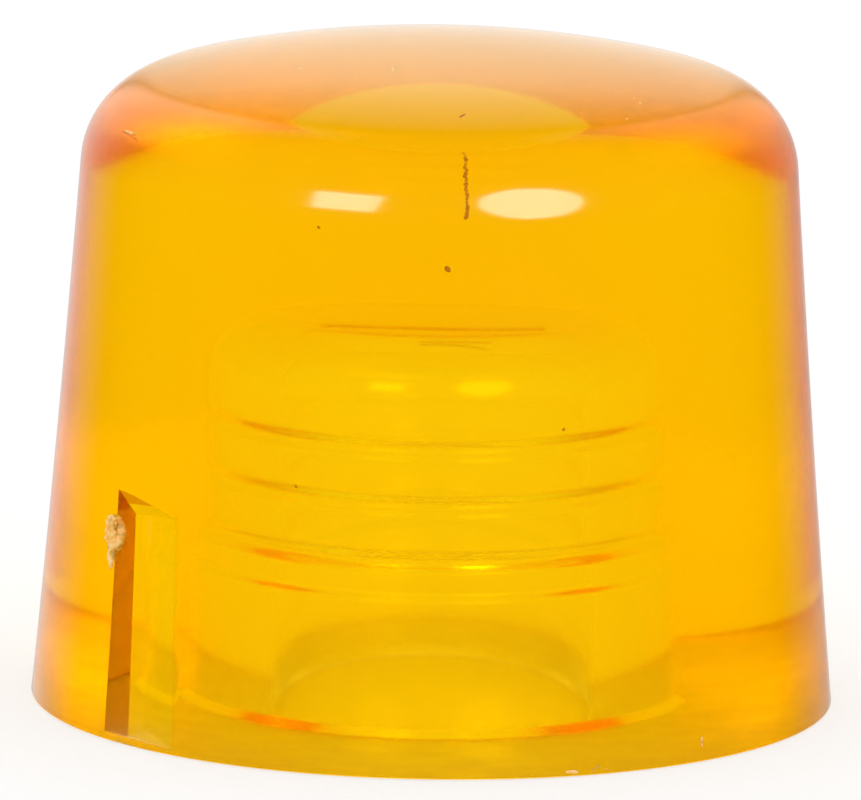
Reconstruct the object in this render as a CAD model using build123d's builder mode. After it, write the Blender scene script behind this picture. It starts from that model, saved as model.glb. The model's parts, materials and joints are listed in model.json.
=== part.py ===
from build123d import *

import os
from math import cos, radians, sin, sqrt, tan

# Body: a drafted round block that stands on its flat seat, axis on Z
BASE_RADIUS = 15.0  # at the seat
BODY_HEIGHT = 24.8  # seat to the middle of the striking dome
TOP_RADIUS = 13.2  # where wall and dome would meet without the shoulder
DOME_RADIUS = 45.0
SHOULDER_RADIUS = 3.5

# Socket: a blind hole from the seat, for the stub of the hammer head
SOCKET_DEPTH = 14.9
CEILING_RADIUS = 3.6  # flat end of the socket
CEILING_CORNER_DROP = 2.5  # height of the rounded corner below it
UPPER_LAND_RADIUS = 5.65
LOWER_LAND_RADIUS = 5.85
GUIDE_RADIUS = 6.05
GUIDE_DEPTH = 5.1
GUIDE_STEP_RUN = 0.3
MOUTH_CHAMFER = 0.3

# Three gripping ribs around the socket wall
RIB_CREST_RADIUS = 5.47
RIB_CREST_WIDTH = 0.25
RIB_FLANK_RUN = 0.35
LOW_RIB_HEIGHT = 6.6
MIDDLE_RIB_HEIGHT = 8.7
TOP_RIB_HEIGHT = 10.8

# Gate notch in the wall, beside the front at the left: one upright face that
# runs out into the wall at its right, a side wall at its left, a sloped ceiling
NOTCH_AZIMUTH = 208  # which way the upright face looks
NOTCH_FACE_DISTANCE = 13.8  # from the axis
NOTCH_SIDE_OFFSET = 1.85  # side wall, from the middle of that face
NOTCH_WIDTH = 4.2
NOTCH_FOOT = 0.4  # rim left standing between the notch and the seat
NOTCH_TOP = 8.6  # lowest edge of its ceiling
NOTCH_CEILING_SLOPE = 60  # how steeply the ceiling rises outwards

# Torn-off gate that is left standing at the notch's left edge
GATE_AZIMUTH = 215
GATE_HEIGHT = 7.3
GATE_HALF_WIDTH = 0.65
GATE_HALF_HEIGHT = 0.95
GATE_STAND = 0.15
GATE_ROOT = 0.5


def wall_plane(azimuth, height):
    """Plane on the drafted wall: x around it, y up it, z out of it."""
    turn = radians(azimuth)
    outward = Vector(cos(turn), sin(turn), 0)
    up = (outward * (TOP_RADIUS - BASE_RADIUS) + Vector(0, 0, CORNER_HEIGHT)).normalized()
    around = Vector(-sin(turn), cos(turn), 0)
    radius = BASE_RADIUS + (TOP_RADIUS - BASE_RADIUS) * height / CORNER_HEIGHT
    return Plane(origin=outward * radius + Vector(0, 0, height), x_dir=around, z_dir=around.cross(up))


def rib_points(height, radius_below, radius_above):
    half = RIB_CREST_WIDTH / 2
    return [
        (radius_below, height - half - RIB_FLANK_RUN),
        (RIB_CREST_RADIUS, height - half),
        (RIB_CREST_RADIUS, height + half),
        (radius_above, height + half + RIB_FLANK_RUN),
    ]


CORNER_HEIGHT = BODY_HEIGHT - DOME_RADIUS + sqrt(DOME_RADIUS**2 - TOP_RADIUS**2)
DOME_START = (TOP_RADIUS, CORNER_HEIGHT)
DOME_MIDDLE = (
    TOP_RADIUS / 2,
    BODY_HEIGHT - DOME_RADIUS + sqrt(DOME_RADIUS**2 - TOP_RADIUS**2 / 4),
)
SOCKET_WALL = (
    [
        (GUIDE_RADIUS + MOUTH_CHAMFER, 0),
        (GUIDE_RADIUS, MOUTH_CHAMFER),
        (GUIDE_RADIUS, GUIDE_DEPTH),
        (LOWER_LAND_RADIUS, GUIDE_DEPTH + GUIDE_STEP_RUN),
    ]
    + rib_points(LOW_RIB_HEIGHT, LOWER_LAND_RADIUS, UPPER_LAND_RADIUS)
    + rib_points(MIDDLE_RIB_HEIGHT, UPPER_LAND_RADIUS, UPPER_LAND_RADIUS)
    + rib_points(TOP_RIB_HEIGHT, UPPER_LAND_RADIUS, UPPER_LAND_RADIUS)
    + [(UPPER_LAND_RADIUS, SOCKET_DEPTH - CEILING_CORNER_DROP)]
)

NOTCH_OUTWARD = Vector(1, 0, 0).rotate(Axis.Z, NOTCH_AZIMUTH)
NOTCH_SIDE = Plane(origin=(0, 0, 0), x_dir=NOTCH_OUTWARD, z_dir=NOTCH_OUTWARD.cross(Vector(0, 0, 1)))
NOTCH_REACH = BASE_RADIUS + 1
NOTCH_SECTION = (
    (NOTCH_FACE_DISTANCE, NOTCH_FOOT),
    (NOTCH_REACH, NOTCH_FOOT),
    (NOTCH_REACH, NOTCH_TOP + (NOTCH_REACH - NOTCH_FACE_DISTANCE) * tan(radians(NOTCH_CEILING_SLOPE))),
    (NOTCH_FACE_DISTANCE, NOTCH_TOP),
)

with BuildPart() as striking_tip:
    with BuildSketch(Plane.XZ) as body_half:
        with BuildLine():
            Polyline((0, BODY_HEIGHT), (0, 0), (BASE_RADIUS, 0), DOME_START)
            ThreePointArc(DOME_START, DOME_MIDDLE, (0, BODY_HEIGHT))
        make_face()
        shoulder = body_half.vertices().sort_by_distance((TOP_RADIUS, CORNER_HEIGHT))[0]
        fillet(shoulder, SHOULDER_RADIUS)
    revolve(axis=Axis.Z)

    with BuildSketch(Plane.XZ):
        with BuildLine():
            Polyline((0, SOCKET_DEPTH), (0, 0), *SOCKET_WALL)
            EllipticalCenterArc(
                (CEILING_RADIUS, SOCKET_DEPTH - CEILING_CORNER_DROP),
                UPPER_LAND_RADIUS - CEILING_RADIUS,
                CEILING_CORNER_DROP,
                start_angle=0,
                arc_size=90,
            )
            Line((CEILING_RADIUS, SOCKET_DEPTH), (0, SOCKET_DEPTH))
        make_face()
    revolve(axis=Axis.Z, mode=Mode.SUBTRACT)

    with BuildSketch(NOTCH_SIDE.offset(-NOTCH_SIDE_OFFSET)):
        Polygon(*NOTCH_SECTION, align=None)
    extrude(amount=-NOTCH_WIDTH, mode=Mode.SUBTRACT)

    with BuildSketch(wall_plane(GATE_AZIMUTH, GATE_HEIGHT).offset(-GATE_ROOT)):
        Ellipse(GATE_HALF_WIDTH, GATE_HALF_HEIGHT)
    extrude(amount=GATE_ROOT + GATE_STAND)

striking_tip.part.label = "striking_tip"

os.makedirs("parts", exist_ok=True)
export_step(striking_tip.part, "parts/striking_tip.step")
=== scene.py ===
import json
import random
from math import atan, cos, hypot, pi, radians, sin, tan

import bpy
from bpy.props import FloatProperty, FloatVectorProperty, IntProperty, PointerProperty
from mathutils import Matrix, Vector


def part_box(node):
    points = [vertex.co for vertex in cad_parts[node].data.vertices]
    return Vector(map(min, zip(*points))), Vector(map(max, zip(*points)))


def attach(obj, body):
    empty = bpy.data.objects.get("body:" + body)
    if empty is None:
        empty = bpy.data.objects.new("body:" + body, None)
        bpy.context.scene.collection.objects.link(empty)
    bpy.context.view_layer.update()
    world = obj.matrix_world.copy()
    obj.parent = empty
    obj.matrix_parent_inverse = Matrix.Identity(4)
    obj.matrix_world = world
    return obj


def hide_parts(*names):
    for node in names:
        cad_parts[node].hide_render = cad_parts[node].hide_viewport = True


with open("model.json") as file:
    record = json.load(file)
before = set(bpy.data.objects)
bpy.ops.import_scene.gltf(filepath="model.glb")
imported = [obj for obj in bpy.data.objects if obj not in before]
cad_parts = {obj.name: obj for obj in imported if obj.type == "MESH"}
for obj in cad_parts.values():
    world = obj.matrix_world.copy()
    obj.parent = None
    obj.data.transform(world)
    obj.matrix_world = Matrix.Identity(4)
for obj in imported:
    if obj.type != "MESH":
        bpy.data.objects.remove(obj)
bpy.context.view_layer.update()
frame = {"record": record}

bl_info = {
    "name": "Replaceable striking tip",
    "version": (1, 0, 0),
    "blender": (4, 5, 0),
    "location": "3D View > Sidebar > Striking tip",
    "description": "Builds a clear amber striking tip with its socket, gate notch, marks and stage",
    "category": "Object",
}

MM = 0.001
BODY = "root"
NODE = "striking_tip"
LOW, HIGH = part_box(NODE)
BASE_RADIUS = HIGH.x
HEIGHT = HIGH.z
SOCKET_MOUNT = next(m for m in frame["record"]["mounts"] if m["name"] == "socket")
CREST_RADIUS = SOCKET_MOUNT["dims"]["r_mm"] * MM
REFRACTION = 1.49
UP = Vector((0, 0, 1))

MERGE_DISTANCE = 0.2e-6
GUIDE_STEP_RISE = 0.3 * MM

# The outer skin starts outwards of this radius, or above this height on the crown
SKIN_RADIUS = 12.5 * MM
CROWN_HEIGHT = 15.2 * MM
# The notch's faces lie this far inside the wall, below this height, and lack this share of the skin's tint
NOTCH_CLEARANCE = 0.03 * MM
NOTCH_LIMIT = 12 * MM
NOTCH_SKIN_LOSS = 0.6

# Each lamp: name, shape, azimuth, elevation, width and height in degrees, seen from the tip
LAMPS = (
    ("left lamp", "RECTANGLE", -30.5, 25.5, 20, 18.5),
    ("right lamp", "ELLIPSE", 30.5, 26.5, 32, 34),
)
LAMP_DISTANCE = 14 * BASE_RADIUS
LAMP_RADIANCE = 8.0
LAMP_AIM = Vector((0, 0, 0.75 * BASE_RADIUS))
CAMERA_AIM = Vector((-0.2 * MM, 0, 11.24 * MM))

FLOOR_DROP = 0.03 * MM
FLOOR_REACH = 30 * BASE_RADIUS
FLOOR_TONE = 1.02
CAMERA_GLOW = 0.6  # of the floor, where the camera sees it directly
FRONT_LIT_GLOW = 1.0  # painted light of the floor in front of the tip, seen through the plastic
BACK_SHADED_GLOW = 0.72  # and painted shade of the floor behind it
GLOW_FADE = 8 * MM  # before and behind the axis

# Marks on the moulding, each from one end to the other and with its width. An end
# is a turn from the front towards the left in degrees, then radius and height.
# Radius, height and width are in millimetres.
CHAR_MARKS = (
    ((-1.6, 13.49, 18.82), (-1.4, 13.49, 18.87), 0.2),
    ((19.2, 13.40, 20.16), (19.3, 13.40, 20.18), 0.1),
    ((-19.8, 13.93, 12.83), (-19.9, 13.93, 12.85), 0.1),
    ((21.2, 14.11, 10.54), (21.3, 14.11, 10.56), 0.09),
    ((83.8, 13.86, 13.74), (84.2, 13.86, 13.74), 0.09),
    ((92.8, 8.67, 23.96), (91.2, 8.37, 24.0), 0.09),
    ((112.0, 2.58, 24.73), (110.0, 2.33, 24.73), 0.06),
    ((-5.6, 9.16, 23.84), (-4.4, 9.42, 23.79), 0.1),
    ((-155.0, 3.38, 24.67), (-151.0, 3.28, 24.67), 0.05),
    ((68.4, 12.70, 22.18), (65.0, 12.70, 22.16), 0.05),
    ((65.2, 12.70, 22.16), (61.0, 12.74, 22.07), 0.03),
)
STREAK = ((-4.5, 11.92, 22.94), (-4.4, 12.67, 22.22), (-4.45, 13.08, 21.55), (-4.5, 13.34, 20.73))
PALE_MARKS = (
    ((25.2, 4.17, 24.60), (20.0, 5.2, 24.5), 0.07),
    ((60.0, 6.1, 24.38), (57.0, 6.2, 24.37), 0.09),
    ((-52.5, 9.0, 23.88), (-51.9, 9.1, 23.86), 0.04),
    ((-51.3, 9.45, 23.78), (-50.6, 9.55, 23.76), 0.05),
    ((-41.2, 10.5, 23.54), (-40.4, 10.55, 23.52), 0.04),
    ((67.0, 12.66, 22.24), (63.0, 12.66, 22.24), 0.11),
    ((-19.7, 14.98, 0.18), (-21.1, 14.98, 0.16), 0.14),
    ((-24.6, 14.97, 0.36), (-23.5, 14.98, 0.14), 0.06),
    ((-25.5, 14.98, 0.18), (-26.0, 14.98, 0.18), 0.05),
    ((-42.2, 14.94, 0.86), (-42.2, 14.95, 0.60), 0.14),
)
# Dark line across the socket's ceiling and a short one on its rounded corner: ends and width
CEILING_DARK_LINES = (
    ((-3.1, -2.3, 14.93), (-0.95, -2.4, 14.93), 0.034),
    ((-0.95, -2.42, 14.93), (0.9, -2.5, 14.93), 0.038),
    ((0.9, -2.5, 14.93), (2.85, -2.4, 14.93), 0.03),
    ((2.84, -1.95, 14.93), (2.86, -2.35, 14.93), 0.04),
    ((-0.45, -4.5, 14.72), (1.5, -4.48, 14.72), 0.03),
)


# ---------------------------------------------------------------- properties


def length(name, description, millimetres):
    return FloatProperty(
        name=name, description=description, default=millimetres * MM, unit="LENGTH", precision=5
    )


def angle(name, description, degrees):
    return FloatProperty(name=name, description=description, default=radians(degrees), subtype="ANGLE")


def amount(name, description, value):
    return FloatProperty(name=name, description=description, default=value)


def colour(name, description, value):
    return FloatVectorProperty(
        name=name, description=description, default=value, subtype="COLOR", size=3, min=0, max=1
    )


class TipBody(bpy.types.PropertyGroup):
    segments: IntProperty(name="Segments", description="Faces around the turned body", default=240, min=24)
    wall_draft: amount("Wall draft", "How fast the wall closes in from the seat, as a slope", 0.0909)
    wall_hollow: amount("Wall hollow", "How much the draft falls off over one base radius", 0.0087)
    shoulder_radius: length("Shoulder radius", "Rounding between the wall and the dome", 3.51)
    dome_edge: angle("Dome edge", "Slant of the surface's normal where the shoulder meets the dome", 76.0)
    base_rounding: length("Base rounding", "Rounding of the edge around the seat", 0.1)


class TipSocket(bpy.types.PropertyGroup):
    depth: length("Depth", "Height of the socket's ceiling above the seat", 14.9)
    ceiling_radius: length("Ceiling radius", "Flat middle of the ceiling", 3.6)
    ceiling_drop: length("Ceiling corner", "Height of the rounding around the ceiling", 2.5)
    upper_land: length("Upper land", "Socket radius between and above the ribs", 5.65)
    lower_land: length("Lower land", "Socket radius below the ribs", 5.85)
    guide: length("Guide", "Socket radius at its mouth", 6.05)
    guide_depth: length("Guide depth", "Height of the step above the guide", 5.25)
    low_rib: length("Low rib", "Height of the lowest rib", 6.6)
    middle_rib: length("Middle rib", "Height of the middle rib", 8.7)
    top_rib: length("Top rib", "Height of the top rib", 10.8)
    rib_half_width: length("Rib half width", "Half the height of a rib's foot", 0.45)
    mouth_chamfer: length("Mouth chamfer", "Bevel around the socket's mouth", 0.3)


class TipNotch(bpy.types.PropertyGroup):
    azimuth: angle("Azimuth", "Which way the upright face looks, from the front towards the left", 62)
    distance: length("Distance", "Upright face from the axis, halfway up", 13.62)
    side_offset: length("Side offset", "Side wall from the middle of the upright face", 1.9)
    width: length("Width", "Width of the cut from its side wall", 4.4)
    reach: length("Reach", "How far the cut runs outwards", 3)
    foot: length("Foot", "Height of the foot at the upright face", 0.22)
    top: length("Top", "Height of the ceiling's inner corner at the side wall", 8.53)
    ceiling_slope: angle("Ceiling slope", "How steeply the ceiling rises outwards", 52)
    ceiling_tilt: angle("Ceiling tilt", "How much the ceiling rises towards the front", 4)
    foot_slope: angle("Foot slope", "How steeply the foot drops outwards", -13)
    lean: angle("Lean", "Tilt of the upper end away from the front", 3)
    recline: angle("Recline", "Tilt of the upper end towards the axis", 3)
    # From this distance outwards the notch's ceiling gets a painted shade in its tint
    shade_painted: length("Scorched", "Distance from the axis from which the ceiling is scorched", 13.7)


class TipGate(bpy.types.PropertyGroup):
    azimuth: angle("Azimuth", "Middle of the torn gate, from the front towards the left", 56)
    height: length("Height", "Middle of the torn gate above the seat", 7.6)
    half_width: length("Half width", "Half the width of its thick part", 0.46)
    half_height: length("Half height", "Half the height of its thick part", 0.72)
    stand: length("Stand", "How far it stands out of the wall", 0.14)
    beads: IntProperty(name="Beads", description="Beads around its crater", default=11, min=3)
    bead_radius: length("Bead radius", "Radius of a bead of the crater's rim", 0.13)
    crater: length("Crater", "Half height of the ring of beads", 0.47)


class TipMarks(bpy.types.PropertyGroup):
    thickness: length("Thickness", "Thickness of a mark across the surface", 0.04)
    streak_dots: IntProperty(name="Streak dots", description="Dots along the streak", default=44, min=2)
    streak_dot: length("Streak dot", "Mean length of a dot in the streak", 0.14)
    streak_scatter: length("Streak scatter", "Spread of the dots across the streak", 0.035)


class TipFinish(bpy.types.PropertyGroup):
    tint: colour("Tint", "What a short path through the plastic lets through", (1.0, 0.954, 0.0))
    skin: colour("Skin", "What the moulded outer skin lets through", (1.0, 0.75, 0.25))
    # Tint of the painted shade on the notch's ceiling
    painted_shade_tint: colour("Scorch", "What the scorched part of the notch lets through", (0.7, 0.28, 0.06))
    tint_density: amount("Tint density", "Absorption of the plastic for each metre", 333.3)
    refraction: amount("Refraction", "Index of refraction of the plastic", REFRACTION)
    wall_roughness: amount("Wall roughness", "Roughness of the moulded walls", 0.11)
    seat_roughness: amount("Seat roughness", "Roughness of the seat face", 0.45)
    unevenness: amount("Unevenness", "How much the gloss varies from place to place", 0.5)
    wave_height: length("Wave height", "Height of the faint waves in the moulded surface", 0.003)


class TipStage(bpy.types.PropertyGroup):
    camera_distance: length("Camera distance", "From the aim point to the camera", 750)
    camera_elevation: angle("Camera elevation", "Height of the view above the floor", 11.36)
    camera_roll: angle("Camera roll", "Turn of the camera about its view", 0.9)
    lens: amount("Lens", "Focal length in millimetres", 838.5)


class TipSettings(bpy.types.PropertyGroup):
    body: PointerProperty(type=TipBody)
    socket: PointerProperty(type=TipSocket)
    notch: PointerProperty(type=TipNotch)
    gate: PointerProperty(type=TipGate)
    marks: PointerProperty(type=TipMarks)
    finish: PointerProperty(type=TipFinish)
    stage: PointerProperty(type=TipStage)


# ---------------------------------------------------------------- outline of the turned body


def arc(centre, radius, start, end, steps):
    """Points of an arc in the half plane, without its first one."""
    turns = (start + (end - start) * i / steps for i in range(1, steps + 1))
    return [(centre[0] + radius * cos(t), centre[1] + radius * sin(t)) for t in turns]


def smooth(fraction):
    fraction = min(1.0, max(0.0, fraction))
    return fraction * fraction * (3 - 2 * fraction)


def wall_radius(body, height):
    rise = height / BASE_RADIUS
    return BASE_RADIUS * (1 - body.wall_draft * rise + body.wall_hollow * rise * rise)


def wall_slant(body, height):
    return atan(body.wall_draft - 2 * body.wall_hollow * height / BASE_RADIUS)


def body_outline(body):
    """From the seat's edge, up the wall and over the dome to the axis."""
    shoulder, edge = body.shoulder_radius, body.dome_edge
    start = HEIGHT - shoulder
    for _ in range(4):
        slant = wall_slant(body, start)
        dome = (wall_radius(body, start) - shoulder * (cos(slant) - cos(edge))) / cos(edge)
        start = HEIGHT - shoulder * (sin(edge) - sin(slant)) - dome * (1 - sin(edge))
    rounding = body.base_rounding
    points = [(BASE_RADIUS - rounding, 0.0)]
    points += arc((BASE_RADIUS - rounding, rounding), rounding, -pi / 2, 0, 4)
    wall_steps = 24
    heights = [rounding + (start - rounding) * i / wall_steps for i in range(1, wall_steps + 1)]
    points += [(min(BASE_RADIUS, wall_radius(body, h)), h) for h in heights]
    centre = (wall_radius(body, start) - shoulder * cos(slant), start - shoulder * sin(slant))
    points += arc(centre, shoulder, slant, edge, 24)
    points += arc((0, HEIGHT - dome), dome, edge, pi / 2, 20)
    points[-1] = (0.0, HEIGHT)
    return points


def surface_point(outline, azimuth, radius, height):
    """Nearest place on the turned outline, and the surface's normal there."""
    best = None
    for (r0, z0), (r1, z1) in zip(outline, outline[1:]):
        run, rise = r1 - r0, z1 - z0
        along = ((radius - r0) * run + (height - z0) * rise) / (run * run + rise * rise)
        along = min(1.0, max(0.0, along))
        r, z = r0 + run * along, z0 + rise * along
        gap = hypot(radius - r, height - z)
        if best is None or gap < best[0]:
            best = (gap, r, z, rise / hypot(run, rise), -run / hypot(run, rise))
    _, r, z, out, up = best
    away = Vector((-sin(azimuth), -cos(azimuth), 0))
    return away * r + Vector((0, 0, z)), away * out + Vector((0, 0, up))


def socket_radius(socket, height):
    """Radius of the socket's wall: lands and guide, less the ribs."""
    keys = [
        (0.0, socket.guide),
        (socket.guide_depth - GUIDE_STEP_RISE / 2, socket.guide),
        (socket.guide_depth + GUIDE_STEP_RISE / 2, socket.lower_land),
        (socket.low_rib - socket.rib_half_width, socket.lower_land),
        (socket.low_rib + socket.rib_half_width, socket.upper_land),
        (socket.depth, socket.upper_land),
    ]
    radius = keys[-1][1]
    for (low, below), (high, above) in zip(keys, keys[1:]):
        if low <= height <= high:
            radius = below + (above - below) * smooth((height - low) / (high - low))
            break
    for rib in (socket.low_rib, socket.middle_rib, socket.top_rib):
        offset = abs(height - rib) / socket.rib_half_width
        if offset < 1:
            radius -= (radius - CREST_RADIUS) * (1 + cos(pi * offset)) / 2
    return radius


def socket_outline(socket):
    """From the middle of the ceiling, round its corner and down to the mouth."""
    corner_height = socket.depth - socket.ceiling_drop
    corner_width = socket.upper_land - socket.ceiling_radius
    points = [(0.0, socket.depth), (socket.ceiling_radius, socket.depth)]
    for i in range(1, 17):
        turn = pi / 2 * i / 16
        radius = socket.ceiling_radius + corner_width * sin(turn)
        points.append((radius, corner_height + socket.ceiling_drop * cos(turn)))
    wall_steps = 200
    step = (corner_height - socket.mouth_chamfer) / wall_steps
    for i in range(1, wall_steps + 1):
        height = corner_height - step * i
        points.append((socket_radius(socket, height), height))
    points.append((socket.guide + socket.mouth_chamfer, 0.0))
    return points


# ---------------------------------------------------------------- geometry node trees


class TreeBuilder:
    """Adds nodes to a geometry or shader tree, with values and links given by name."""

    def __init__(self, tree):
        self.tree = tree

    def add(self, kind, settings=None, inputs=None):
        node = self.tree.nodes.new(kind)
        for name, value in (settings or {}).items():
            setattr(node, name, value)
        for key, value in (inputs or {}).items():
            self.feed(node.inputs[key], value)
        return node

    def feed(self, socket, value):
        if isinstance(value, bpy.types.NodeSocket):
            self.tree.links.new(value, socket)
        else:
            socket.default_value = value

    def math(self, operation, *values):
        node = self.add("ShaderNodeMath", {"operation": operation})
        for socket, value in zip(node.inputs, values):
            self.feed(socket, value)
        return node.outputs[0]

    def group(self, tree, inputs):
        return self.add("ShaderNodeGroup", {"node_tree": tree}, inputs).outputs

    def join(self, x, y, z):
        return self.add("ShaderNodeCombineXYZ", inputs={"X": x, "Y": y, "Z": z}).outputs[0]


def geometry_tree(name, inputs):
    """A geometry tree with the named inputs (name, socket type, default)."""
    tree = bpy.data.node_groups.new(name, "GeometryNodeTree")
    tree.interface.new_socket("Geometry", in_out="INPUT", socket_type="NodeSocketGeometry")
    for label, kind, default in inputs:
        socket = tree.interface.new_socket(label, in_out="INPUT", socket_type=kind)
        if default is not None:
            socket.default_value = default
    tree.interface.new_socket("Geometry", in_out="OUTPUT", socket_type="NodeSocketGeometry")
    builder = TreeBuilder(tree)
    source = builder.add("NodeGroupInput")
    result = builder.add("NodeGroupOutput")
    return tree, builder, source.outputs, result.inputs[0]


def turned_body_tree():
    """Turns the incoming outline about Z, closes it and cuts the gate notch."""
    tree, build, given, result = geometry_tree(
        "Turned body",
        [
            ("Segments", "NodeSocketInt", 240),
            ("Notch Size", "NodeSocketVector", None),
            ("Notch Slopes", "NodeSocketVector", None),
            ("Notch Turn", "NodeSocketVector", None),
            ("Notch Centre", "NodeSocketVector", None),
            ("Material", "NodeSocketMaterial", None),
        ],
    )
    count = build.add(
        "GeometryNodeAttributeDomainSize", {"component": "MESH"}, {"Geometry": given["Geometry"]}
    ).outputs["Point Count"]
    columns = build.math("ADD", given["Segments"], 1.0)
    sheet = build.add("GeometryNodeMeshGrid", inputs={"Vertices X": columns, "Vertices Y": count})
    index = build.add("GeometryNodeInputIndex").outputs[0]
    column = build.math("FLOOR", build.math("DIVIDE", build.math("ADD", index, 0.5), count))
    row = build.math("SUBTRACT", index, build.math("MULTIPLY", column, count))
    place = build.add("GeometryNodeInputPosition").outputs[0]
    sample = build.add(
        "GeometryNodeSampleIndex",
        {"data_type": "FLOAT_VECTOR", "domain": "POINT"},
        {"Geometry": given["Geometry"], "Value": place, "Index": row},
    )
    outline = build.add("ShaderNodeSeparateXYZ", inputs={0: sample.outputs["Value"]}).outputs
    whole = build.math("MODULO", column, given["Segments"])
    turn = build.math("MULTIPLY", whole, build.math("DIVIDE", 2 * pi, given["Segments"]))
    x = build.math("MULTIPLY", outline["X"], build.math("COSINE", turn))
    y = build.math("MULTIPLY", outline["X"], build.math("SINE", turn))
    turned = build.add(
        "GeometryNodeSetPosition",
        inputs={"Geometry": sheet.outputs["Mesh"], "Position": build.join(x, y, outline["Z"])},
    )
    closed = build.add(
        "GeometryNodeMergeByDistance", inputs={"Geometry": turned.outputs[0], "Distance": MERGE_DISTANCE}
    )
    block = build.add("GeometryNodeMeshCube", inputs={"Size": given["Notch Size"]})
    inner = build.add("ShaderNodeVectorMath", {"operation": "MULTIPLY_ADD"}, {0: given["Notch Size"]})
    inner.inputs[1].default_value = (0.5, 0.5, 0.5)
    tree.links.new(place, inner.inputs[2])
    corner = build.add("ShaderNodeSeparateXYZ", inputs={0: inner.outputs["Vector"]}).outputs
    slope = build.add("ShaderNodeSeparateXYZ", inputs={0: given["Notch Slopes"]}).outputs
    outward = build.math("MULTIPLY", corner["X"], slope["X"])
    ceiling = build.math("ADD", outward, build.math("MULTIPLY", corner["Y"], slope["Y"]))
    foot = build.math("MULTIPLY", corner["X"], slope["Z"])
    upper = build.math("GREATER_THAN", corner["Z"], 0.1 * MM)
    shift = build.math(
        "SUBTRACT",
        build.math("MULTIPLY", upper, ceiling),
        build.math("MULTIPLY", build.math("SUBTRACT", 1.0, upper), foot),
    )
    sloped = build.add(
        "GeometryNodeSetPosition",
        inputs={"Geometry": block.outputs["Mesh"], "Offset": build.join(0.0, 0.0, shift)},
    )
    swung = build.add(
        "GeometryNodeTransform",
        inputs={
            "Geometry": sloped.outputs[0],
            "Translation": given["Notch Centre"],
            "Rotation": given["Notch Turn"],
        },
    )
    cut = build.add("GeometryNodeMeshBoolean", {"operation": "DIFFERENCE", "solver": "EXACT"})
    tree.links.new(closed.outputs[0], cut.inputs["Mesh 1"])
    tree.links.new(swung.outputs[0], cut.inputs["Mesh 2"])
    shaded = build.add("GeometryNodeSetShadeSmooth", inputs={"Geometry": cut.outputs["Mesh"]})
    real = build.add("GeometryNodeRealizeInstances", inputs={"Geometry": shaded.outputs[0]})
    painted = build.add(
        "GeometryNodeSetMaterial", inputs={"Geometry": real.outputs[0], "Material": given["Material"]}
    )
    tree.links.new(painted.outputs[0], result)
    return tree


def line_mesh(name, points):
    """A chain of edges in the XZ plane."""
    mesh = bpy.data.meshes.new(name)
    mesh.from_pydata([(x, 0.0, z) for x, z in points], [(i, i + 1) for i in range(len(points) - 1)], [])
    return mesh


def bit(centre, along, normal, half_size):
    """Place, turn and half size of a bit that lies along one way and faces another."""
    facing = normal.normalized()
    across = facing.cross(along).normalized()
    turn = Matrix((across.cross(facing), across, facing)).transposed().to_euler()
    return centre, turn, half_size


def bit_mesh(name, bits):
    """A point for each bit, with its turn and its half size."""
    mesh = bpy.data.meshes.new(name)
    mesh.from_pydata([place for place, _, _ in bits], [], [])
    for label, column in (("turn", 1), ("size", 2)):
        stored = mesh.attributes.new(label, "FLOAT_VECTOR", "POINT")
        stored.data.foreach_set("vector", [part for entry in bits for part in entry[column]])
    return mesh


def scattered_bits_tree():
    """Sets a rugged bit on each point, in the point's own turn and size."""
    tree, build, given, result = geometry_tree(
        "Scattered bits",
        [
            ("Ruggedness", "NodeSocketFloat", 0.3),
            ("Grain", "NodeSocketFloat", 0.0002),
            ("Fineness", "NodeSocketInt", 3),
            ("Seed", "NodeSocketFloat", 1.0),
            ("Material", "NodeSocketMaterial", None),
        ],
    )
    ball = build.add("GeometryNodeMeshIcoSphere", inputs={"Radius": 1.0, "Subdivisions": given["Fineness"]})
    turn = build.add("GeometryNodeInputNamedAttribute", {"data_type": "FLOAT_VECTOR"}, {"Name": "turn"})
    size = build.add("GeometryNodeInputNamedAttribute", {"data_type": "FLOAT_VECTOR"}, {"Name": "size"})
    rotation = build.add("FunctionNodeEulerToRotation", inputs={"Euler": turn.outputs["Attribute"]})
    placed = build.add(
        "GeometryNodeInstanceOnPoints",
        inputs={
            "Points": given["Geometry"],
            "Instance": ball.outputs["Mesh"],
            "Rotation": rotation.outputs[0],
            "Scale": size.outputs["Attribute"],
        },
    )
    loose = build.add("GeometryNodeRealizeInstances", inputs={"Geometry": placed.outputs[0]})
    noise = build.add(
        "ShaderNodeTexNoise",
        {"noise_dimensions": "4D"},
        {"W": given["Seed"], "Scale": build.math("DIVIDE", 1.0, given["Grain"]), "Detail": 3.0},
    )
    thin = build.add("ShaderNodeSeparateXYZ", inputs={0: size.outputs["Attribute"]}).outputs["Z"]
    swell = build.math("MULTIPLY", build.math("SUBTRACT", noise.outputs["Fac"], 0.5), given["Ruggedness"])
    swell = build.math("MULTIPLY", swell, build.math("MULTIPLY", thin, 2.0))
    outward = build.add("GeometryNodeInputNormal").outputs[0]
    offset = build.add("ShaderNodeVectorMath", {"operation": "SCALE"}, {0: outward, "Scale": swell})
    rugged = build.add(
        "GeometryNodeSetPosition", inputs={"Geometry": loose.outputs[0], "Offset": offset.outputs[0]}
    )
    shaded = build.add("GeometryNodeSetShadeSmooth", inputs={"Geometry": rugged.outputs[0]})
    real = build.add("GeometryNodeRealizeInstances", inputs={"Geometry": shaded.outputs[0]})
    painted = build.add(
        "GeometryNodeSetMaterial", inputs={"Geometry": real.outputs[0], "Material": given["Material"]}
    )
    tree.links.new(painted.outputs[0], result)
    return tree


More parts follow.
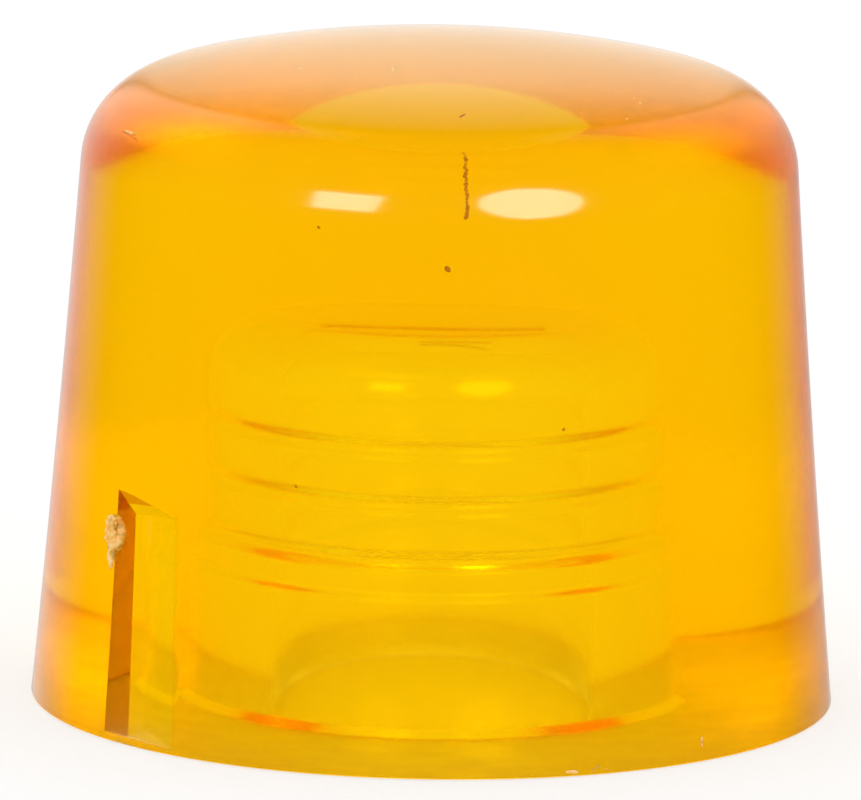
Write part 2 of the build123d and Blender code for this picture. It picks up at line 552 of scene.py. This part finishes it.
def run_tree(name, mesh, tree, values):
    """Evaluates the tree on the mesh and returns the result as a plain object."""
    source = bpy.data.objects.new(name + "_source", mesh)
    bpy.context.scene.collection.objects.link(source)
    modifier = source.modifiers.new("Nodes", "NODES")
    modifier.node_group = tree
    for item in tree.interface.items_tree:
        if item.in_out == "INPUT" and item.name in values:
            modifier[item.identifier] = values[item.name]
    graph = bpy.context.evaluated_depsgraph_get()
    result = bpy.data.meshes.new_from_object(source.evaluated_get(graph))
    bpy.data.objects.remove(source)
    bpy.data.meshes.remove(mesh)
    result.name = name
    piece = bpy.data.objects.new(name, result)
    bpy.context.scene.collection.objects.link(piece)
    return piece


# ---------------------------------------------------------------- materials


def new_material(name):
    material = bpy.data.materials.new(name)
    material.use_nodes = True
    material.node_tree.nodes.clear()
    return material, TreeBuilder(material.node_tree)


def fine_wear_group():
    """Uneven gloss and faint waves, as a moulded surface has them."""
    name = "Fine wear"
    if name in bpy.data.node_groups:
        return bpy.data.node_groups[name]
    tree = bpy.data.node_groups.new(name, "ShaderNodeTree")
    tree.interface.new_socket("Vector", in_out="INPUT", socket_type="NodeSocketVector")
    for label, default in (("Roughness", 0.1), ("Unevenness", 0.5), ("Wave Height", 0.00001)):
        socket = tree.interface.new_socket(label, in_out="INPUT", socket_type="NodeSocketFloat")
        socket.default_value = default
    tree.interface.new_socket("Roughness", in_out="OUTPUT", socket_type="NodeSocketFloat")
    tree.interface.new_socket("Normal", in_out="OUTPUT", socket_type="NodeSocketVector")
    build = TreeBuilder(tree)
    given = build.add("NodeGroupInput").outputs
    result = build.add("NodeGroupOutput").inputs
    place = given["Vector"]
    patches = build.add("ShaderNodeTexNoise", inputs={"Vector": place, "Scale": 350.0, "Detail": 5.0})
    swing = build.math("SUBTRACT", patches.outputs["Fac"], 0.5)
    swing = build.math("MULTIPLY", swing, given["Unevenness"])
    rough = build.math("MULTIPLY", given["Roughness"], build.math("ADD", swing, 1.0))
    waves = build.add("ShaderNodeTexNoise", inputs={"Vector": place, "Scale": 160.0, "Detail": 1.0})
    waves = waves.outputs["Fac"]
    bump = build.add("ShaderNodeBump", inputs={"Height": waves, "Distance": given["Wave Height"]})
    tree.links.new(rough, result["Roughness"])
    tree.links.new(bump.outputs["Normal"], result["Normal"])
    return tree


def amber_plastic(finish, body, notch):
    material, build = new_material("amber plastic")
    place = build.add("ShaderNodeTexCoord").outputs["Object"]
    axes = build.add("ShaderNodeSeparateXYZ", inputs={0: place}).outputs
    height = axes["Z"]
    rough = build.add(
        "ShaderNodeMapRange",
        inputs={
            "Value": height,
            "From Min": 0.01 * MM,
            "From Max": 0.02 * MM,
            "To Min": finish.seat_roughness,
            "To Max": finish.wall_roughness,
        },
    ).outputs["Result"]
    spread = build.add(
        "ShaderNodeVectorMath", {"operation": "LENGTH"}, {0: build.join(axes["X"], axes["Y"], 0.0)}
    ).outputs["Value"]
    crown = build.math("GREATER_THAN", height, CROWN_HEIGHT)
    outside = build.math("MAXIMUM", build.math("GREATER_THAN", spread, SKIN_RADIUS), crown)
    rise = build.math("DIVIDE", height, BASE_RADIUS)
    wall = build.math("MULTIPLY_ADD", rise, body.wall_hollow, -body.wall_draft)
    wall = build.math("MULTIPLY", build.math("MULTIPLY_ADD", rise, wall, 1.0), BASE_RADIUS)
    sunk = build.math("GREATER_THAN", build.math("SUBTRACT", wall, spread), NOTCH_CLEARANCE)
    sunk = build.math("MULTIPLY", sunk, build.math("LESS_THAN", height, NOTCH_LIMIT))
    kept = build.math("SUBTRACT", 1.0, build.math("MULTIPLY", sunk, NOTCH_SKIN_LOSS))
    outside = build.math("MULTIPLY", outside, kept)
    facing = (-sin(notch.azimuth), -cos(notch.azimuth), 0)
    reach = build.add("ShaderNodeVectorMath", {"operation": "DOT_PRODUCT"}, {0: place, 1: facing})
    reach = reach.outputs["Value"]
    # Painted shade: beyond a distance from the axis and above its top, the notch's ceiling lets less through
    shade_painted = build.math("MULTIPLY", sunk, build.math("GREATER_THAN", reach, notch.shade_painted))
    shade_painted = build.math("MULTIPLY", shade_painted, build.math("GREATER_THAN", height, notch.top))
    skin = build.add(
        "ShaderNodeMix", {"data_type": "RGBA"}, {"Factor": outside, 6: (1, 1, 1, 1), 7: (*finish.skin, 1)}
    ).outputs[2]
    skin = build.add(
        "ShaderNodeMix", {"data_type": "RGBA"}, {"Factor": shade_painted, 6: skin, 7: (*finish.painted_shade_tint, 1)}
    ).outputs[2]
    wear = build.group(
        fine_wear_group(),
        {
            "Vector": place,
            "Roughness": rough,
            "Unevenness": finish.unevenness,
            "Wave Height": finish.wave_height,
        },
    )
    surface = build.add(
        "ShaderNodeBsdfPrincipled",
        inputs={
            "Base Color": skin,
            "Roughness": wear["Roughness"],
            "Normal": wear["Normal"],
            "IOR": finish.refraction,
            "Transmission Weight": 1.0,
        },
    )
    volume = build.add(
        "ShaderNodeVolumeAbsorption",
        inputs={"Color": (*finish.tint, 1), "Density": finish.tint_density},
    )
    build.add(
        "ShaderNodeOutputMaterial",
        inputs={"Surface": surface.outputs[0], "Volume": volume.outputs[0]},
    )
    return material


def char():
    """Scorched plastic that was carried into the moulding."""
    material, build = new_material("char")
    place = build.add("ShaderNodeTexCoord").outputs["Object"]
    noise = build.add("ShaderNodeTexNoise", inputs={"Vector": place, "Scale": 9000.0, "Detail": 2.0})
    tone = build.add(
        "ShaderNodeMix",
        {"data_type": "RGBA"},
        {"Factor": noise.outputs["Fac"], 6: (0.28, 0.09, 0.006, 1), 7: (0.85, 0.38, 0.04, 1)},
    ).outputs[2]
    rough = build.math("MULTIPLY_ADD", noise.outputs["Fac"], 0.3, 0.6)
    surface = build.add("ShaderNodeBsdfPrincipled", inputs={"Base Color": tone, "Roughness": rough})
    build.add("ShaderNodeOutputMaterial", inputs={"Surface": surface.outputs[0]})
    return material


def torn_plastic():
    """The same plastic where it is torn and crazed: pale, dull and pitted."""
    material, build = new_material("torn plastic")
    place = build.add("ShaderNodeTexCoord").outputs["Object"]
    grain = build.add("ShaderNodeTexNoise", inputs={"Vector": place, "Scale": 2600.0, "Detail": 4.0})
    cells = build.add(
        "ShaderNodeTexVoronoi", {"feature": "DISTANCE_TO_EDGE"}, {"Vector": place, "Scale": 4200.0}
    )
    ramp = build.add("ShaderNodeValToRGB", inputs={"Fac": grain.outputs["Fac"]})
    stops = ramp.color_ramp.elements
    stops[0].position, stops[0].color = 0.34, (0.55, 0.3, 0.03, 1)
    stops[1].position, stops[1].color = 0.6, (1.0, 0.72, 0.3, 1)
    middle = stops.new(0.46)
    middle.color = (1.0, 0.5, 0.08, 1)
    height = build.math("ADD", grain.outputs["Fac"], build.math("MULTIPLY", cells.outputs["Distance"], 0.6))
    bump = build.add("ShaderNodeBump", inputs={"Height": height, "Strength": 0.6, "Distance": 0.025 * MM})
    wear = build.group(fine_wear_group(), {"Vector": place, "Roughness": 0.4, "Unevenness": 1.0})
    surface = build.add(
        "ShaderNodeBsdfPrincipled",
        inputs={
            "Base Color": ramp.outputs["Color"],
            "Roughness": wear["Roughness"],
            "IOR": REFRACTION,
            "Normal": bump.outputs["Normal"],
        },
    )
    build.add("ShaderNodeOutputMaterial", inputs={"Surface": surface.outputs[0]})
    return material


# ---------------------------------------------------------------- operators


def outline_bit(outline, first, last, width, thickness, sunk=0.0):
    """A flat bit from one place on the turned outline to another, sunk below the surface if asked."""
    ends = [surface_point(outline, radians(a), r * MM, z * MM) for a, r, z in (first, last)]
    (start, face), (end, other) = ends
    half_size = ((end - start).length / 2 + width / 2, width / 2, thickness / 2)
    return bit((start + end) / 2 - face * sunk, end - start, face + other, half_size)


def add_bits(name, bits, material, ruggedness, grain, fineness, seed):
    """A piece that is made of rugged bits and rides on the tip."""
    values = {
        "Ruggedness": ruggedness,
        "Grain": grain,
        "Fineness": fineness,
        "Seed": seed,
        "Material": material,
    }
    piece = run_tree(name, bit_mesh(name, bits), scattered_bits_tree(), values)
    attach(piece, BODY)


class BuildMoulding(bpy.types.Operator):
    """Turn the tip's outline, cut its gate notch and give it the amber plastic"""

    bl_idname = "tip.build_moulding"
    bl_label = "Build moulding"

    def execute(self, context):
        tip = context.scene.tip
        outline = body_outline(tip.body)[::-1] + [(BASE_RADIUS / 2, 0.0)]
        socket = socket_outline(tip.socket)[::-1]
        notch = tip.notch
        size = Vector((notch.reach, notch.width, notch.top - notch.foot))
        centre = Vector((notch.distance, notch.side_offset, notch.foot)) + size / 2
        swing = Matrix.Rotation(-pi / 2 - notch.azimuth, 4, "Z")
        tilt = Matrix.Rotation(notch.lean, 4, "X") @ Matrix.Rotation(-notch.recline, 4, "Y")
        piece = run_tree(
            "moulded_tip",
            line_mesh("outline", outline + socket),
            turned_body_tree(),
            {
                "Segments": tip.body.segments,
                "Notch Size": size,
                "Notch Slopes": (tan(notch.ceiling_slope), tan(notch.ceiling_tilt), tan(notch.foot_slope)),
                "Notch Turn": (swing @ tilt).to_euler(),
                "Notch Centre": swing @ centre,
                "Material": amber_plastic(tip.finish, tip.body, notch),
            },
        )
        piece.data.set_sharp_from_angle(angle=radians(35))
        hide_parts(NODE)
        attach(piece, BODY)
        return {"FINISHED"}


class BuildGate(bpy.types.Operator):
    """Tear the gate: a crazed lump with a crater, which hangs over the notch's edge"""

    bl_idname = "tip.build_gate"
    bl_label = "Build torn gate"

    def execute(self, context):
        tip = context.scene.tip
        gate = tip.gate
        outline = body_outline(tip.body)
        place, face = surface_point(outline, gate.azimuth, wall_radius(tip.body, gate.height), gate.height)
        right = UP.cross(face).normalized()
        up = face.cross(right).normalized()
        width, rise, stand = gate.half_width, gate.half_height, gate.stand
        bits = [
            bit(place - face * stand, up, face, (rise, width, 2 * stand)),
            bit(place - up * 1.1 * rise + right * 0.1 * width, up, face, (0.45 * rise, 0.5 * width, stand)),
            bit(
                place - up * 1.5 * rise + right * 0.12 * width,
                up,
                face,
                (0.34 * rise, 0.24 * width, 0.7 * stand),
            ),
            bit(place + right * 0.6 * width - face * stand, up, face, (0.7 * rise, 0.5 * width, 1.6 * stand)),
        ]
        chance = random.Random(7)
        rim = place + up * 0.25 * rise + face * stand * 0.7
        for i in range(gate.beads):
            turn = 2 * pi * i / gate.beads
            spot = rim + up * gate.crater * cos(turn) + right * gate.crater * 0.62 * sin(turn)
            radius = gate.bead_radius * chance.uniform(0.7, 1.2)
            along = up * sin(turn) + right * cos(turn)
            bits.append(bit(spot, along, face, (1.3 * radius, 0.7 * radius, 0.6 * radius)))
        add_bits("torn_gate", bits, torn_plastic(), 0.45, 0.22 * MM, 4, 3.0)
        return {"FINISHED"}


class BuildCharMarks(bpy.types.Operator):
    """Set the scorched specks, the dotted streak and the scratches in the socket's ceiling"""

    bl_idname = "tip.build_char_marks"
    bl_label = "Build char marks"

    # Set the charred specks, the dotted streak and the dark lines in the socket's ceiling
    def execute(self, context):
        tip = context.scene.tip
        marks = tip.marks
        outline = body_outline(tip.body)
        thick = 2 * marks.thickness
        bits = [outline_bit(outline, first, last, w * MM, thick, thick) for first, last, w in CHAR_MARKS]
        chance = random.Random(11)
        for i in range(marks.streak_dots):
            reach = (len(STREAK) - 1) * (i + chance.random()) / marks.streak_dots
            part = min(int(reach), len(STREAK) - 2)
            azimuth, radius, height = Vector(STREAK[part]).lerp(Vector(STREAK[part + 1]), reach - part)
            place, face = surface_point(outline, radians(azimuth), radius * MM, height * MM)
            place += Vector((chance.gauss(0, marks.streak_scatter), 0, 0)) - face * 2 * marks.thickness
            dot = marks.streak_dot / 2 * chance.uniform(0.4, 1.3)
            along = Vector((chance.uniform(-0.5, 0.5), 0, 1))
            bits.append(bit(place, along, face, (0.8 * dot, 0.9 * dot, 0.4 * dot)))
        for first, last, width in CEILING_DARK_LINES:
            start, step = Vector(first) * MM, (Vector(last) - Vector(first)) * MM / 6
            half_size = (step.length * 0.8, width * MM / 2, width * MM / 2)
            for i in range(6):
                bits.append(bit(start + step * (i + 0.5), step, UP, half_size))
        add_bits("char_marks", bits, char(), 0.5, 0.05 * MM, 3, 5.0)
        return {"FINISHED"}


class BuildPaleMarks(bpy.types.Operator):
    """Set the scratches on the dome and the chips on the edge around the seat"""

    bl_idname = "tip.build_pale_marks"
    bl_label = "Build pale marks"

    def execute(self, context):
        tip = context.scene.tip
        outline = body_outline(tip.body)
        thickness = tip.marks.thickness
        bits = [outline_bit(outline, first, last, w * MM, thickness) for first, last, w in PALE_MARKS]
        add_bits("pale_marks", bits, torn_plastic(), 0.4, 0.05 * MM, 3, 9.0)
        return {"FINISHED"}


class BuildStage(bpy.types.Operator):
    """Set the floor, the backdrop, the lamps and the camera"""

    bl_idname = "tip.build_stage"
    bl_label = "Build stage"

    def execute(self, context):
        scene = context.scene
        stage = scene.tip.stage
        scene.view_settings.view_transform = "Standard"
        scene.cycles.max_bounces = 32
        scene.cycles.transmission_bounces = 32
        scene.cycles.glossy_bounces = 16
        set_floor(scene, scene.tip.socket.guide + scene.tip.socket.mouth_chamfer)
        set_world(scene)
        for name, shape, *angles in LAMPS:
            set_lamp(name, shape, *map(radians, angles))
        set_camera(scene, stage)
        return {"FINISHED"}


def set_floor(scene, mouth_radius):
    """A pale floor in the object's shadow, shown white to the camera and through the plastic, where its glow
    is painted light in front, painted shade behind and painted shadow inside the socket's mouth.
    """
    half = FLOOR_REACH
    mesh = bpy.data.meshes.new("floor")
    corners = [(-half, -half), (half, -half), (half, half), (-half, half)]
    mesh.from_pydata([(x, y, -FLOOR_DROP) for x, y in corners], [], [(0, 1, 2, 3)])
    floor_object = bpy.data.objects.new("floor", mesh)
    scene.collection.objects.link(floor_object)
    material, build = new_material("white floor")
    path = build.add("ShaderNodeLightPath").outputs
    place = build.add("ShaderNodeTexCoord").outputs["Object"]
    spread = build.add("ShaderNodeVectorMath", {"operation": "LENGTH"}, {0: place}).outputs["Value"]
    depth = build.add("ShaderNodeSeparateXYZ", inputs={0: place}).outputs["Y"]
    # Painted light and shade: seen through the plastic, the floor glows more in front of the axis than behind
    # it
    level = build.add(
        "ShaderNodeMapRange",
        {"interpolation_type": "SMOOTHSTEP"},
        {
            "Value": depth,
            "From Min": -GLOW_FADE,
            "From Max": GLOW_FADE,
            "To Min": FRONT_LIT_GLOW,
            "To Max": BACK_SHADED_GLOW,
        },
    ).outputs["Result"]
    # Painted shadow: inside the socket's mouth the floor gets no glow
    below = build.math("MULTIPLY", level, build.math("GREATER_THAN", spread, mouth_radius))
    through = build.math("MULTIPLY", path["Is Transmission Ray"], below)
    glow = build.math("MAXIMUM", build.math("MULTIPLY", path["Is Camera Ray"], CAMERA_GLOW), through)
    tone = build.math("SUBTRACT", FLOOR_TONE, glow)
    paint = build.add("ShaderNodeBsdfDiffuse", inputs={"Color": build.join(tone, tone, tone)})
    glow = build.add("ShaderNodeEmission", inputs={"Color": (1, 1, 1, 1), "Strength": glow})
    both = build.add("ShaderNodeAddShader", inputs={0: paint.outputs[0], 1: glow.outputs[0]})
    build.add("ShaderNodeOutputMaterial", inputs={"Surface": both.outputs[0]})
    mesh.materials.append(material)
    floor_object.visible_glossy = False


def set_world(scene):
    """White all round, except that mirror reflections see a backdrop that ends above and to the sides."""
    world = bpy.data.worlds.new("backdrop")
    scene.world = world
    world.use_nodes = True
    world.node_tree.nodes.clear()
    build = TreeBuilder(world.node_tree)
    path = build.add("ShaderNodeLightPath").outputs
    view = build.add("ShaderNodeTexCoord").outputs["Generated"]
    ray = build.add("ShaderNodeSeparateXYZ", inputs={0: view}).outputs
    beside = build.math("ABSOLUTE", ray["X"])
    bow = build.math("MULTIPLY", beside, beside)
    rise = build.math("ADD", ray["Z"], build.math("MULTIPLY", bow, 5.0))
    screen = build.add("ShaderNodeMapRange", inputs={"Value": rise, "From Min": 0.64, "From Max": 0.42})
    screen = screen.outputs["Result"]
    narrow = build.math("SUBTRACT", 1.0, build.math("MULTIPLY", bow, 25.0))
    narrow = build.math("MULTIPLY", narrow, build.math("GREATER_THAN", ray["Y"], 0.2))
    narrow = build.math("MAXIMUM", narrow, 0.0)
    screen = build.math("MULTIPLY", screen, narrow)
    toward = build.add(
        "ShaderNodeVectorMath",
        {"operation": "DOT_PRODUCT"},
        {0: view, 1: (0, cos(radians(10)), sin(radians(10)))},
    ).outputs["Value"]
    wing = build.add(
        "ShaderNodeMapRange",
        {"interpolation_type": "SMOOTHSTEP"},
        {"Value": toward, "From Min": cos(radians(60)), "From Max": cos(radians(15))},
    ).outputs["Result"]
    side = build.add(
        "ShaderNodeMapRange",
        {"interpolation_type": "SMOOTHSTEP"},
        {"Value": beside, "From Min": 0.1, "From Max": 0.25},
    ).outputs["Result"]
    side = build.math("MAXIMUM", side, build.math("LESS_THAN", ray["Z"], 0.0))
    level = build.add(
        "ShaderNodeMapRange",
        inputs={"Value": ray["X"], "From Min": -0.3, "From Max": 0.3, "To Min": 0.85, "To Max": 0.5},
    ).outputs[0]
    wing = build.math("MULTIPLY", build.math("MULTIPLY", wing, level), side)
    screen = build.math("MAXIMUM", screen, wing)
    mirrored = build.math("SUBTRACT", path["Is Glossy Ray"], path["Is Transmission Ray"])
    mirrored = build.math("MAXIMUM", mirrored, 0.0)
    strength = build.math(
        "ADD", build.math("MULTIPLY", screen, mirrored), build.math("SUBTRACT", 1.0, mirrored)
    )
    background = build.add("ShaderNodeBackground", inputs={"Color": (1, 1, 1, 1), "Strength": strength})
    build.add("ShaderNodeOutputWorld", inputs={"Surface": background.outputs[0]})


def set_lamp(name, shape, azimuth, elevation, width, height):
    """An area lamp that looks this wide and high from the point it aims at."""
    lamp = bpy.data.lights.new(name, "AREA")
    lamp.shape = shape
    lamp.size, lamp.size_y = LAMP_DISTANCE * width, LAMP_DISTANCE * height
    part = pi / 4 if shape == "ELLIPSE" else 1.0
    lamp.energy = LAMP_RADIANCE * pi * part * lamp.size * lamp.size_y
    lamp_object = bpy.data.objects.new(name, lamp)
    away = Vector((sin(azimuth) * cos(elevation), -cos(azimuth) * cos(elevation), sin(elevation)))
    lamp_object.location = LAMP_AIM + LAMP_DISTANCE * away
    lamp_object.rotation_euler = away.to_track_quat("Z", "Y").to_euler()
    lamp_object.visible_diffuse = False
    bpy.context.scene.collection.objects.link(lamp_object)


def set_camera(scene, stage):
    camera = bpy.data.cameras.new("camera")
    camera.sensor_width = 36
    camera.lens = stage.lens
    camera.clip_end = 10
    camera_object = bpy.data.objects.new("camera", camera)
    scene.collection.objects.link(camera_object)
    tilt = stage.camera_elevation
    turn = Matrix.Rotation(pi / 2 - tilt, 4, "X") @ Matrix.Rotation(stage.camera_roll, 4, "Z")
    back = Vector((0, -cos(tilt), sin(tilt))) * stage.camera_distance
    camera_object.matrix_world = Matrix.Translation(CAMERA_AIM + back) @ turn
    scene.camera = camera_object


class TipPanel(bpy.types.Panel):
    """Lists the operators that build the tip"""

    bl_idname = "VIEW3D_PT_striking_tip"
    bl_label = "Striking tip"
    bl_space_type = "VIEW_3D"
    bl_region_type = "UI"
    bl_category = "Striking tip"

    def draw(self, context):
        for step in STEPS:
            self.layout.operator(step.bl_idname)


STEPS = (BuildMoulding, BuildGate, BuildCharMarks, BuildPaleMarks, BuildStage)
GROUPS = (TipBody, TipSocket, TipNotch, TipGate, TipMarks, TipFinish, TipStage, TipSettings)
CLASSES = (*GROUPS, *STEPS, TipPanel)


def register():
    for entry in CLASSES:
        bpy.utils.register_class(entry)
    bpy.types.Scene.tip = PointerProperty(type=TipSettings)


def unregister():
    del bpy.types.Scene.tip
    for entry in reversed(CLASSES):
        bpy.utils.unregister_class(entry)


def main():
    register()
    bpy.ops.tip.build_moulding()
    bpy.ops.tip.build_gate()
    bpy.ops.tip.build_char_marks()
    bpy.ops.tip.build_pale_marks()
    bpy.ops.tip.build_stage()


if __name__ == "__main__":
    main()
